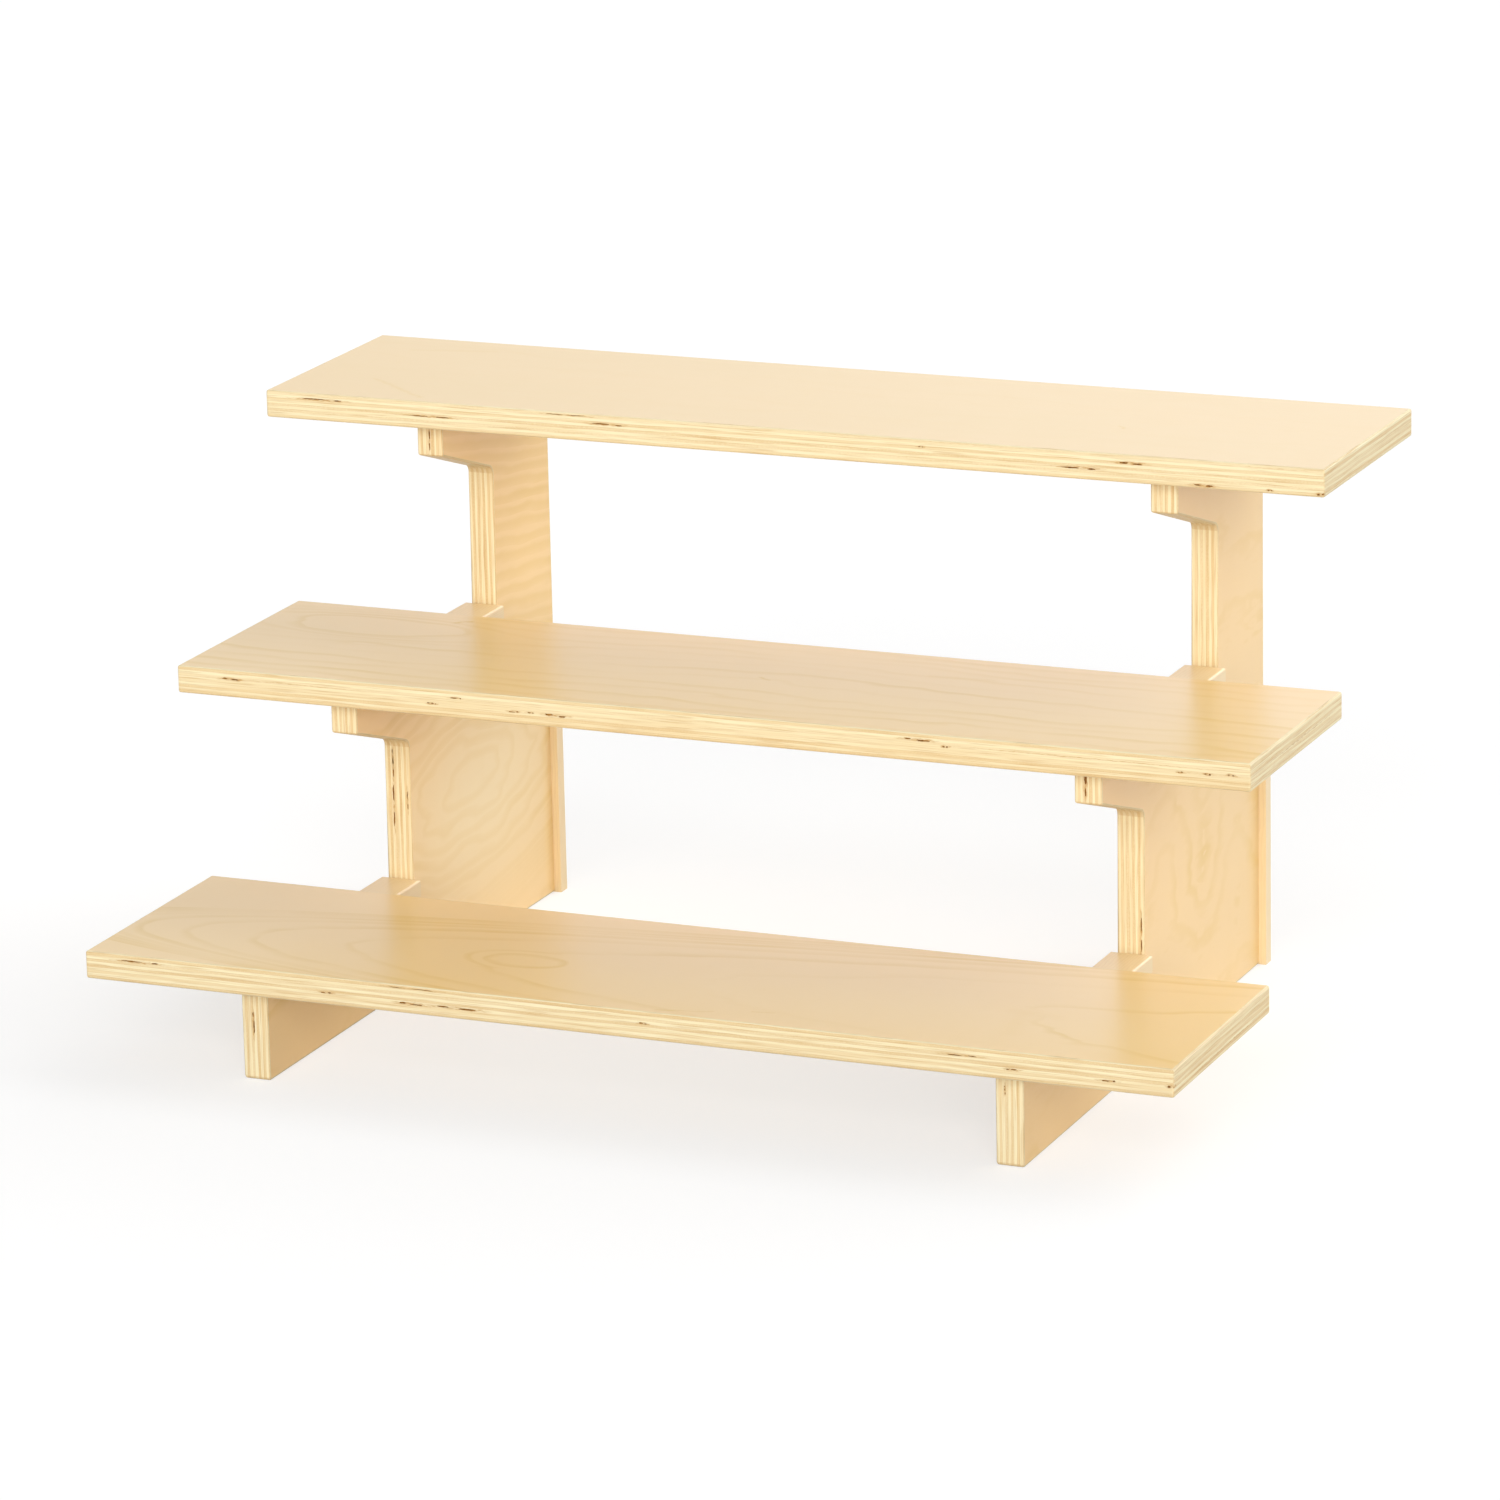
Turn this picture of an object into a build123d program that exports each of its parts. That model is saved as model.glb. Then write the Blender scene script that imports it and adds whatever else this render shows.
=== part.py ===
from build123d import *
import os

# Tiered display shelf: three plywood boards on two stepped plywood supports.
# Every board has two grooves in its underside and drops over rails on the supports.
# Millimetres. X runs along the boards, +Y to the back, +Z up.
# The origin is on the floor, under the middle of the shelf.

# Boards
board_length = 725.0
board_depth = 175.0
board_thickness = 18.0
board_edge_radius = 1.5

# Tiers, from the front
tier_names = ("bottom", "middle", "top")
tier_rise = 150.0
tier_run = 140.0
foot_height = 60.0

# Supports
support_thickness = 18.0
support_spacing = 505.0
support_edge_radius = 1.5
arm_setback = 15.0
arm_tip_depth = 21.5
arm_root_depth = 46.0
arm_tip_radius = 1.5
arm_root_radius = 6.0
post_gap = 55.0
rear_overhang = 4.0

# Rails on the steps and cleats in the rear edges, all cut from one strip
strip_width = 28.0
strip_thickness = 11.0
strip_edge_radius = 1.5
rail_setback = 20.0
rail_end_radius = 6.0
cleat_length = 140.0

# Room for a board to drop over its rails
groove_side_clearance = 0.3
groove_end_clearance = 1.0

# Countersunk wood screws
screws_per_strip = 3
screw_margin = 20.0
screw_length = 30.0
screw_diameter = 4.0
screw_head_diameter = 8.0
screw_rim = 0.4
screw_tip = 5.0
screw_sink = 0.3
screw_clearance = 0.1
recess_span = 4.4
recess_width = 1.1
recess_depth = 1.6

# Places that follow from the sizes
last_tier = len(tier_names) - 1
overall_depth = last_tier * tier_run + board_depth + rear_overhang
front = -overall_depth / 2
rear = overall_depth / 2
rail_cover = board_depth - arm_setback - rail_setback
screw_radius = screw_diameter / 2
head_radius = screw_head_diameter / 2
head_height = screw_rim + head_radius - screw_radius
near = 0.01


def board_front(tier):
    return front + tier * tier_run


def step_height(tier):
    return foot_height + tier * tier_rise


def arm_tip(tier):
    return board_front(tier) + arm_setback


def rail_front(tier):
    return arm_tip(tier) + rail_setback


def post_front(tier):
    """Front of the post behind a board; the last board has the rear edge instead."""
    return rear if tier == last_tier else board_front(tier) + board_depth + post_gap


def screw_offsets(covered):
    """Even places along the covered stretch of a strip, a margin in from both ends."""
    pitch = (covered - 2 * screw_margin) / (screws_per_strip - 1)
    return [screw_margin + index * pitch for index in range(screws_per_strip)]


def board():
    """One board, with its front edge on Y = 0 and its underside on Z = 0."""
    slab = Box(board_length, board_depth, board_thickness, align=(Align.CENTER, Align.MIN, Align.MIN))
    slab = fillet(slab.edges(), board_edge_radius)
    groove_front = arm_setback + rail_setback - groove_end_clearance
    groove = Box(
        strip_width + 2 * groove_side_clearance,
        board_depth - groove_front,
        strip_thickness,
        align=(Align.CENTER, Align.MIN, Align.MIN),
    )
    groove = fillet(groove.edges().filter_by(Axis.Z).group_by(Axis.Y)[0], rail_end_radius)
    for x in (-support_spacing / 2, support_spacing / 2):
        slab -= Pos(x, groove_front, 0) * groove
    return slab


def screw():
    """One screw pointing down, with the top of its head on Z = 0."""
    outline = Polyline(
        (0, 0),
        (head_radius, 0),
        (head_radius, -screw_rim),
        (screw_radius, -head_height),
        (screw_radius, screw_tip - screw_length),
        (0, -screw_length),
        close=True,
    )
    body = revolve(Plane.XZ * make_face(outline), Axis.Z)
    slot = Box(recess_span, recess_width, recess_depth, align=(Align.CENTER, Align.CENTER, Align.MAX))
    return body - slot - Rot(Z=90) * slot


def screw_seat():
    """The hole in a strip for one screw, with the strip's outer face on Z = 0."""
    down = (Align.CENTER, Align.CENTER, Align.MAX)
    throat = screw_radius + screw_clearance
    mouth = head_radius + screw_clearance
    rim_depth = screw_sink + screw_rim
    shank = Cylinder(throat, strip_thickness, align=down)
    rim = Cylinder(mouth, rim_depth, align=down)
    cone = Cone(throat, mouth, head_height - screw_rim, align=down)
    return shank + rim + Pos(0, 0, -rim_depth) * cone


def pilot_hole():
    """The hole in a support's edge under a strip, with that edge on Z = 0."""
    depth = screw_length + screw_sink - strip_thickness + screw_clearance
    return Cylinder(screw_radius + screw_clearance, depth, align=(Align.CENTER, Align.CENTER, Align.MAX))


def strip(length, covered, end_radius):
    """One strip lying on Z = 0 along +Y, from an end that may have rounded corners."""
    body = Box(strip_width, length, strip_thickness, align=(Align.CENTER, Align.MIN, Align.MIN))
    if end_radius:
        body = fillet(body.edges().filter_by(Axis.Z).group_by(Axis.Y)[0], end_radius)
    body = fillet(body.faces().sort_by(Axis.Z)[-1].edges(), strip_edge_radius)
    for y in screw_offsets(covered):
        body -= Pos(0, y, strip_thickness) * screw_seat()
    return body


def strip_screws(covered):
    """The screws of one strip, as separate solids."""
    head_top = strip_thickness - screw_sink
    return [Pos(0, y, head_top) * screw() for y in screw_offsets(covered)]


def strips():
    """Name, place on a support, length, covered length and end radius of every strip."""
    rows = []
    for tier, name in enumerate(tier_names):
        place = Pos(0, rail_front(tier), step_height(tier))
        length = post_front(tier) - rail_front(tier)
        rows.append((f"{name}_rail", place, length, rail_cover, rail_end_radius))
    place = Pos(0, rear - strip_thickness, cleat_length) * Rot(X=-90)
    rows.append(("rear_cleat", place, cleat_length, cleat_length, 0))
    return rows


def support_outline():
    """The support's stepped profile, drawn with Y across and Z up."""
    points = [(arm_tip(0), 0)]
    roots = []
    tips = [points[0]]
    for tier in range(last_tier + 1):
        step = step_height(tier)
        if tier > 0:
            roots.append((post_front(tier - 1), step - arm_root_depth))
            tips.append((arm_tip(tier), step - arm_tip_depth))
            points += [roots[-1], tips[-1]]
        points += [(arm_tip(tier), step), (post_front(tier), step)]
    rebate = rear - strip_thickness
    points += [(rear, cleat_length), (rebate, cleat_length), (rebate, 0)]
    profile = make_face(Polyline(*points, close=True))
    for corners, radius in ((roots, arm_root_radius), (tips, arm_tip_radius)):
        for corner in corners:
            place = Vector(*corner)
            vertex = profile.vertices().sort_by(lambda v: (Vector(v) - place).length)[0]
            profile = fillet(vertex, radius)
    return profile


def is_eased(edge):
    """True where an edge of a support's side shows, away from the rails and the cleat."""
    middle = edge.center()
    on_step = any(abs(middle.Z - step_height(tier)) < near for tier in range(last_tier + 1))
    in_rebate = middle.Y > rear - strip_thickness - near and middle.Z < cleat_length + near
    return not on_step and not in_rebate


def support():
    """One support, centred on X = 0, with its pilot holes."""
    body = extrude(Plane.YZ * support_outline(), amount=support_thickness / 2, both=True)
    side_edges = body.faces().filter_by(Axis.X).edges()
    body = fillet(side_edges.filter_by(is_eased), support_edge_radius)
    for _, place, _, covered, _ in strips():
        for y in screw_offsets(covered):
            body -= place * Pos(0, y, 0) * pilot_hole()
    return body


nodes = {}
for tier, name in enumerate(tier_names):
    nodes[f"{name}_board"] = Pos(0, board_front(tier), step_height(tier)) * board()

for side, x in (("left", -support_spacing / 2), ("right", support_spacing / 2)):
    nodes[f"{side}_support"] = Pos(x, 0, 0) * support()
    for name, place, length, covered, end_radius in strips():
        on_support = Pos(x, 0, 0) * place
        nodes[f"{side}_{name}"] = on_support * strip(length, covered, end_radius)
        screws = [on_support * one for one in strip_screws(covered)]
        nodes[f"{side}_{name}_screws"] = Compound(children=screws)

os.makedirs("parts", exist_ok=True)
for name, shape in nodes.items():
    export_step(shape, f"parts/{name}.step")
print(len(nodes), "nodes")
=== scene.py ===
import math
import random
from typing import NamedTuple

import bmesh
import bpy
from bpy.props import FloatProperty, FloatVectorProperty, IntProperty, PointerProperty
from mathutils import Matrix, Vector


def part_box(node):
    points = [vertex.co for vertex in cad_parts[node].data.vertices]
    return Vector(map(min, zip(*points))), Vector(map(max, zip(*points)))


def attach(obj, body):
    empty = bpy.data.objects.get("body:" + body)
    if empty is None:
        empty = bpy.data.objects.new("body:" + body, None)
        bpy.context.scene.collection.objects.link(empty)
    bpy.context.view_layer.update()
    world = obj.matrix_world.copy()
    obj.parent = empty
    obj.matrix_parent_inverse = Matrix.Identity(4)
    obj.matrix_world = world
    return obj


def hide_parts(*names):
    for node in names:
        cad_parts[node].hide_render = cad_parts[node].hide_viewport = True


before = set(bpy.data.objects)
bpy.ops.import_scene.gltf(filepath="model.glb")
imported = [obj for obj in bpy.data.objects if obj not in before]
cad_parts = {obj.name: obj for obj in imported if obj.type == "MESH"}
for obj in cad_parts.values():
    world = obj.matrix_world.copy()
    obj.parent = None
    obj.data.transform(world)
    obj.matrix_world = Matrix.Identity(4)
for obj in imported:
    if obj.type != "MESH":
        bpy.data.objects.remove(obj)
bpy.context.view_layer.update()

bl_info = {
    "name": "Tiered display shelf",
    "version": (1, 0, 0),
    "blender": (4, 5, 0),
    "location": "3D View > Sidebar > Shelf",
    "description": "Plywood boards on stepped supports, with their strips and screws, and a plain stage",
    "category": "Object",
}

# Names and places from the frame, in metres
mm = 0.001
tiers = ("bottom", "middle", "top")
sides = ("left", "right")
rails = tuple(f"{tier}_rail" for tier in tiers)
strips = rails + ("rear_cleat",)
board_size = Vector(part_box("top_board")[1]) - Vector(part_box("top_board")[0])
support_size = Vector(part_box("left_support")[1]) - Vector(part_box("left_support")[0])


# Sizes and finishes that a user may change


def kind_of_setting(kind, **options):
    """A way to declare settings of one kind, each by its name, description and default."""
    return lambda name, description, default: kind(
        name=name, description=description, default=default, **options)


metres = kind_of_setting(FloatProperty, unit="LENGTH")
factor = kind_of_setting(FloatProperty, min=0, max=1, subtype="FACTOR")
amount = kind_of_setting(FloatProperty)
count = kind_of_setting(IntProperty, min=1)
paint = kind_of_setting(FloatVectorProperty, subtype="COLOR")
location = kind_of_setting(FloatVectorProperty, subtype="XYZ", unit="LENGTH")
rotation = kind_of_setting(FloatVectorProperty, subtype="EULER")


class ShelfSizes(bpy.types.PropertyGroup):
    """Sizes of the shelf's modelled details, which the frame's boxes don't give."""

    board_edge_radius: metres("Board edge radius", "Easing of a board's edges", 0.0015)
    support_edge_radius: metres("Support edge radius", "Easing of a support's outline", 0.0015)
    arm_tip_depth: metres("Arm tip depth", "Height of an arm at its tip", 0.0215)
    arm_root_depth: metres("Arm root depth", "Height of an arm at its post", 0.046)
    arm_tip_radius: metres("Arm tip radius", "Rounding under an arm's tip", 0.0015)
    arm_root_radius: metres("Arm root radius", "Rounding between an arm and its post", 0.006)
    foot_corner_radius: metres("Foot corner radius", "Rounding of a foot's lower front corner", 0.0025)
    groove_corner_radius: metres("Groove corner radius", "Rounding of a groove's stopped end", 0.006)
    groove_side_clearance: metres("Groove side clearance", "Room beside a rail in its groove", 0.0003)
    groove_end_clearance: metres("Groove end clearance", "Room before a rail in its groove", 0.001)
    edge_segments: count("Edge segments", "Faces across an eased edge", 4)
    arm_segments: count("Arm segments", "Faces across a rounding of the outline", 6)
    groove_segments: count("Groove segments", "Faces across a groove's rounded corner", 8)


class PlywoodLooks(bpy.types.PropertyGroup):
    """Colours and sheen of the plywood."""

    board_veneer: paint("Board veneer", "Main colour of the boards", (0.84, 0.60, 0.265))
    support_veneer: paint("Support veneer", "Main colour of the supports", (0.90, 0.637, 0.305))
    veneer_warm: paint("Warm veneer", "Warmer drift in the faces", (0.87, 0.60, 0.28))
    # Colour of painted light: the paler areas that stand in for light a face lacks
    painted_light_colour: paint("Pale veneer", "Paler areas in the faces", (0.96, 0.78, 0.47))
    veneer_line: paint("Growth line", "Colour of the growth lines", (0.73, 0.45, 0.01))
    warm_drift: factor("Warm drift", "How far the faces drift to the warmer colour", 0.3)
    line_depth: factor("Line depth", "How dark the growth lines are", 0.6)
    long_grain: paint("Long grain", "Edge of a ply cut along its fibres", (0.85, 0.747, 0.488))
    end_grain: paint("End grain", "Edge of a ply cut across its fibres", (0.76, 0.58, 0.315))
    stain: paint("Core stain", "Brown streaks in the core plies", (0.50, 0.26, 0.07))
    gap: paint("Core gap", "Torn fibres in an open gap", (0.25, 0.11, 0.03))
    board_contrast: factor("Board contrast", "How much the plies of a board differ", 0.7)
    support_contrast: factor("Support contrast", "How much the plies of a support differ", 0.8)
    # Painted shade: how far the slanted roundings under the arms are browned to stand in for their shade
    support_scorch: factor("Scorch", "How brown the saw leaves the roundings under the arms", 0.3)
    face_roughness: factor("Face roughness", "Satin sheen of the faces", 0.3)
    board_lacquer: factor("Board lacquer", "Clear coat on the boards' faces", 0.45)
    support_lacquer: factor("Support lacquer", "Clear coat on the supports' faces", 0.0)
    edge_gloss: factor("Edge gloss", "Gloss left on the open grain of the edges", 0.15)
    edge_roughness: factor("Edge roughness", "Lacquer sunk into the edges", 0.42)
    face_ply: metres("Face ply", "Thickness of a face veneer", 0.0006)
    inner_plies: count("Inner plies", "Plies between the face veneers", 9)


class StripLooks(bpy.types.PropertyGroup):
    """Colours and sheen of the solid-wood strips."""

    wood: paint("Strip wood", "Main colour of the strips", (0.91, 0.716, 0.424))
    dark_wood: paint("Strip grain", "Colour of the grain lines", (0.768, 0.531, 0.272))
    roughness: factor("Strip roughness", "Satin lacquer on the strips", 0.32)


class ScrewLooks(bpy.types.PropertyGroup):
    """Colours and polish of the screws."""

    steel: paint("Zinc plate", "Colour of the plated steel", (0.72, 0.71, 0.68))
    dull_steel: paint("Dull zinc", "Colour of the plating's duller clouds", (0.48, 0.46, 0.42))
    roughness: factor("Polish", "Roughness of the plating", 0.36)


class StageLooks(bpy.types.PropertyGroup):
    """The floor, the light and the camera."""

    floor_size: metres("Floor size", "Side of the square floor", 40.0)
    floor_white: factor("Floor white", "Whiteness of the floor", 0.85)
    floor_bounce: factor("Floor bounce", "Share of light that the floor gives back", 0.55)
    floor_shadow: factor("Floor shadow", "How strongly the floor shows the shadow", 0.5)
    ambient: amount("Ambient", "Even light from all round", 0.37)
    front_light: amount("Front light", "Level that the front lamp adds", 0.95)
    back_light: amount("Back light", "Level that the lamp behind on the right adds", 0.60)
    rear_light: amount("Rear light", "Level that the lamp straight behind adds", 0.11)
    floor_level: amount("Floor level", "Light that all of these give on the open floor", 0.90)
    camera_place: location("Camera place", "Where the camera stands", (1.7321, -4.0560, 1.4198))
    camera_turn: rotation("Camera turn", "Turn of the camera",
                          [math.radians(angle) for angle in (74.300, 1.203, 22.826)])
    camera_lens: amount("Camera lens", "Focal length in millimetres", 173.5)
    sensor_width: amount("Sensor width", "Width of the camera's sensor in millimetres", 36.0)


# Shader nodes


def operation(kind):
    """A way to work out a new field from a field and other values."""
    return lambda field, *others: field.recipe.math(kind, field, *others)


class Field:
    """A number that changes over a surface, worked out by shader nodes."""

    def __init__(self, recipe, socket):
        self.recipe = recipe
        self.socket = socket

    __add__ = operation("ADD")
    __radd__ = __add__
    __sub__ = operation("SUBTRACT")
    __mul__ = operation("MULTIPLY")
    __truediv__ = operation("DIVIDE")
    floor = operation("FLOOR")
    fraction = operation("FRACT")
    size = operation("ABSOLUTE")
    root = operation("SQRT")
    power = operation("POWER")
    logarithm = operation("LOGARITHM")
    modulo = operation("FLOORED_MODULO")
    least = operation("MINIMUM")
    most = operation("MAXIMUM")

    def __rsub__(self, other):
        return self.recipe.math("SUBTRACT", other, self)

    def bell(self):
        """1 where the field is 0, falling to 0 on both sides."""
        return self.recipe.math("EXPONENT", self * self * -1.0)

    def rise(self, start, end):
        """0 below start, 1 above end, and smooth between them; end may be the lower one."""
        values = {"Value": self, "From Min": start, "From Max": end}
        node = self.recipe.add("ShaderNodeMapRange", values, interpolation_type="SMOOTHSTEP")
        return Field(self.recipe, node.outputs["Result"])

    def blend(self, first, second):
        """A colour from first, where the field is 0, to second, where it is 1."""
        values = {0: self, 6: first, 7: second}
        return self.recipe.add("ShaderNodeMix", values, data_type="RGBA", clamp_factor=True).outputs[2]


class Recipe:
    """The shader nodes of one material or world, joined as they are added."""

    def __init__(self, owner):
        owner.use_nodes = True
        self.owner = owner
        self.tree = owner.node_tree
        self.tree.nodes.clear()
        self.surface = self.add("ShaderNodeTexCoord")

    def add(self, kind, values=(), **settings):
        """A new node with its settings, and with values for its inputs."""
        node = self.tree.nodes.new(kind)
        for name, setting in settings.items():
            setattr(node, name, setting)
        for name, value in dict(values).items():
            self.feed(node.inputs[name], value)
        return node

    def feed(self, socket, value):
        """Sets a socket to a number or a colour, or joins it to what makes its value."""
        if isinstance(value, Field):
            value = value.socket
        if isinstance(value, bpy.types.NodeSocket):
            self.tree.links.new(value, socket)
        elif socket.type == "RGBA":
            socket.default_value = (*value, 1.0)
        else:
            socket.default_value = value

    def math(self, kind, *values):
        node = self.add("ShaderNodeMath", enumerate(values), operation=kind)
        return Field(self, node.outputs[0])

    def parts(self, socket, order):
        """The parts of a vector, as fields in the order that the piece lies."""
        node = self.add("ShaderNodeSeparateXYZ", {0: socket})
        return [Field(self, node.outputs[axis]) for axis in order]

    def place(self, origin, order):
        """Millimetres along the face grain, across it and through the sheet, from an origin in metres."""
        found = self.parts(self.surface.outputs["Object"], order)
        start = dict(zip("XYZ", origin))
        return [(part - start[axis]) / mm for part, axis in zip(found, order)]

    def slant(self, order):
        """How far the surface faces along the grain, across it and through the sheet, from 0 to 1."""
        return [part.size() for part in self.parts(self.surface.outputs["Normal"], order)]

    def point(self, *parts):
        return self.add("ShaderNodeCombineXYZ", enumerate(parts)).outputs[0]

    def away(self, point, centre, reach):
        """Distance of a point from a centre, where 1 is as far as the reach along each axis."""
        shift = self.add("ShaderNodeVectorMath", {0: point, 1: centre}, operation="SUBTRACT")
        share = self.add("ShaderNodeVectorMath", {0: shift.outputs[0], 1: reach}, operation="DIVIDE")
        length = self.add("ShaderNodeVectorMath", {0: share.outputs[0]}, operation="LENGTH")
        return Field(self, length.outputs["Value"])

    def noise(self, x, y, z, detail=2.0):
        """Smooth noise about 0, mostly between -0.25 and 0.25."""
        values = {"Vector": self.point(x, y, z), "Scale": 1.0, "Detail": detail}
        node = self.add("ShaderNodeTexNoise", values, noise_dimensions="3D")
        return Field(self, node.outputs[0]) - 0.5

    def chance(self, value):
        """A fixed random number from 0 to 1 for each value."""
        node = self.add("ShaderNodeTexWhiteNoise", {"W": value}, noise_dimensions="1D")
        return Field(self, node.outputs["Value"])

    def by_ray(self, camera, gloss, light):
        """A number with one value for the camera, one for gloss and one for light on the object."""
        path = self.add("ShaderNodeLightPath")
        for name, value in (("Is Glossy Ray", gloss), ("Is Camera Ray", camera)):
            light = self.add("ShaderNodeMix", {0: path.outputs[name], 2: light, 3: value}).outputs[0]
        return light

    def show(self, shader, output="ShaderNodeOutputMaterial"):
        """Joins a shader to the output of the material or world, and returns that owner."""
        self.add(output, {"Surface": shader.outputs[0]})
        return self.owner

    def finish(self, colour, roughness, relief, relief_depth, metal=0.0, gloss=0.5, coat=0.0,
               coat_roughness=0.0):
        """The material with this colour, roughness and relief, whose depth is in metres."""
        bump = self.add("ShaderNodeBump", {"Height": relief, "Distance": relief_depth})
        return self.show(self.add("ShaderNodeBsdfPrincipled", {
            "Base Color": colour, "Roughness": roughness, "Metallic": metal, "Specular IOR Level": gloss,
            "Coat Weight": coat, "Coat Roughness": coat_roughness, "Normal": bump.outputs[0]}))


def new_recipe(name):
    return Recipe(bpy.data.materials.new(name))


# Plywood

# How far the veneer of a sheet's first face is shifted along and across the grain, in millimetres
first_face_shift = (190.0, 47.0)

# Power of the distance by which an eye's field rises, so that its ovals crowd towards the rim
eye_steepness = 1.3

# How far from its axis a nose's lines lie back by its opening, and the least distance from its tip
nose_width = 40
nose_start = 4.0

# Brings noise to between about -1 and 1, and keeps lines from widening where the field is nearly flat
full_swing = 4
least_slope = 0.004

# Gaps in the core, in millimetres: their depth, and the room beside them where the front is split
gap_depth = 1.0
gap_room = 2.0

# Pits in a row along a gap, in shares of the gap's length or thickness
pit_share = (0.3, 0.75)
pit_half_length = 0.39
pit_half_thickness = (0.3, 0.55)
pit_wander = 0.35
bridge_share = (0.02, 0.12)
last_start = 0.4
ragged_rim = 0.25

# Brown stain around a gap: reach in gap lengths and thicknesses, reach into the core, and strength
stain_length = 0.85
stain_thickness = 1.15
stain_depth = 4.0
stain_strength = 0.9


class Eye(NamedTuple):
    """A place where the growth lines close into ovals."""

    # Centre along and across, half length and half width
    area: tuple
    # Growth field at the centre, and its rise to the half size
    level: float
    rise: float
    # How far the ovals wander
    wander: float
    # Distances, in half sizes, where it starts to fade and where it ends
    fade: float
    end: float
    # Least strength of the lines there
    strength: float


class Figure(NamedTuple):
    """The growth lines of one face veneer. Lengths are in millimetres along and across the face grain."""

    seed: float
    # From line to line, before the lines crowd, tilt or fan out
    spacing: float
    crowding: float = 0.0
    phase: float = 0.0
    tilt: float = 0.0
    fan: float = 0.0
    waver: float = 0.6
    ripple: float = 0.2
    breadth: float = 1.0
    # Lines around a long nose: its axis, how it opens, its tip and the growth from line to line
    nose: tuple = ()
    # Areas that bend the lines, each with its rise
    swells: tuple = ()
    eyes: tuple = ()
    # Areas with weaker lines, and areas of painted light where the face is made paler, each with its depth
    plain: tuple = ()
    painted_light: tuple = ()
    # Single marks: two ends, half width and depth
    streaks: tuple = ()
    # Least strength of every line, strength of them all, and factor for the base colour, which paints light:
    # it lifts faces that get too little light and darkens faces that get too much
    even: float = 0.0
    strength: float = 1.0
    shade: float = 1.0


def oval(recipe, along, across, area):
    """Distance from the centre of an area of a face, where 1 is its half size."""
    centre_along, centre_across, half_length, half_width = area
    place = recipe.point(along, across, 0.0)
    return recipe.away(place, (centre_along, centre_across, 0.0), (half_length, half_width, 1.0))


def spot(recipe, along, across, area):
    """1 at the centre of an area of a face, falling softly to 0 around it."""
    return oval(recipe, along, across, area).bell()


def growth_height(recipe, along, across, figure):
    """A height field whose contours are the growth lines."""
    seed = figure.seed
    bent = across
    for *area, rise in figure.swells:
        bent = bent - spot(recipe, along, across, area) * rise
    height = bent * (bent * figure.crowding + 1.0) + along * (bent * figure.fan + figure.tilt)
    height = height / figure.spacing + figure.phase
    if figure.nose:
        axis, opening, start, growth = figure.nose
        offset = (across - axis) / nose_width
        tip = (along - offset * offset * opening - start).most(nose_start)
        height = tip.logarithm(growth)
    height = height + recipe.noise(along / 120, across / 38, seed) * figure.waver * full_swing
    ripple = recipe.noise(along / 26, across / 12, seed + 3.7, detail=1.0)
    height = height + ripple * figure.ripple * full_swing
    for eye in figure.eyes:
        distance = oval(recipe, along, across, eye.area)
        bend = recipe.noise(along / 58, across / 22, seed + 7.0, detail=1.0) * eye.wander
        rings = distance.power(eye_steepness) * eye.rise + bend + eye.level
        height = height + (rings - height) * distance.rise(eye.end, eye.fade)
    return height


def growth_lines(recipe, along, across, figure):
    """Strength of the growth lines: each is as wide everywhere, and fades out on one side."""
    seed = figure.seed
    breadth = figure.breadth
    step = 0.7
    height = growth_height(recipe, along, across, figure)
    slope_along = (growth_height(recipe, along + step, across, figure) - height) / step
    slope_across = (growth_height(recipe, along, across + step, figure) - height) / step
    slope = (slope_along * slope_along + slope_across * slope_across).root().most(least_slope)
    away = (height.fraction() - 0.5) / slope
    line = away.rise(-3.0 * breadth, -0.2) * away.rise(1.3 * breadth, -0.2)
    ring = recipe.chance(height.floor() + seed) * 0.7 + 0.3
    fading = (recipe.noise(along / 95, across / 30, seed + 11.3) * 2.4 + 0.6).most(0.0).least(1.0)
    share = (ring * fading).most(figure.even)
    for eye in figure.eyes:
        share = share.most(oval(recipe, along, across, eye.area).rise(eye.end, eye.fade) * eye.strength)
    for *area, depth in figure.plain:
        share = share * (1.0 - spot(recipe, along, across, area) * depth)
    return line * share * figure.strength


def streak_line(along, across, streak):
    """A single soft line between two points."""
    (start_along, start_across), (end_along, end_across), half_width, depth = streak
    run_along = end_along - start_along
    run_across = end_across - start_across
    length = run_along ** 2 + run_across ** 2
    from_along = along - start_along
    from_across = across - start_across
    share = (from_along * (run_along / length) + from_across * (run_across / length)).most(0.0).least(1.0)
    off_along = from_along - share * run_along
    off_across = from_across - share * run_across
    off = (off_along * off_along + off_across * off_across).root()
    return (off / half_width).bell() * depth


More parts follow.
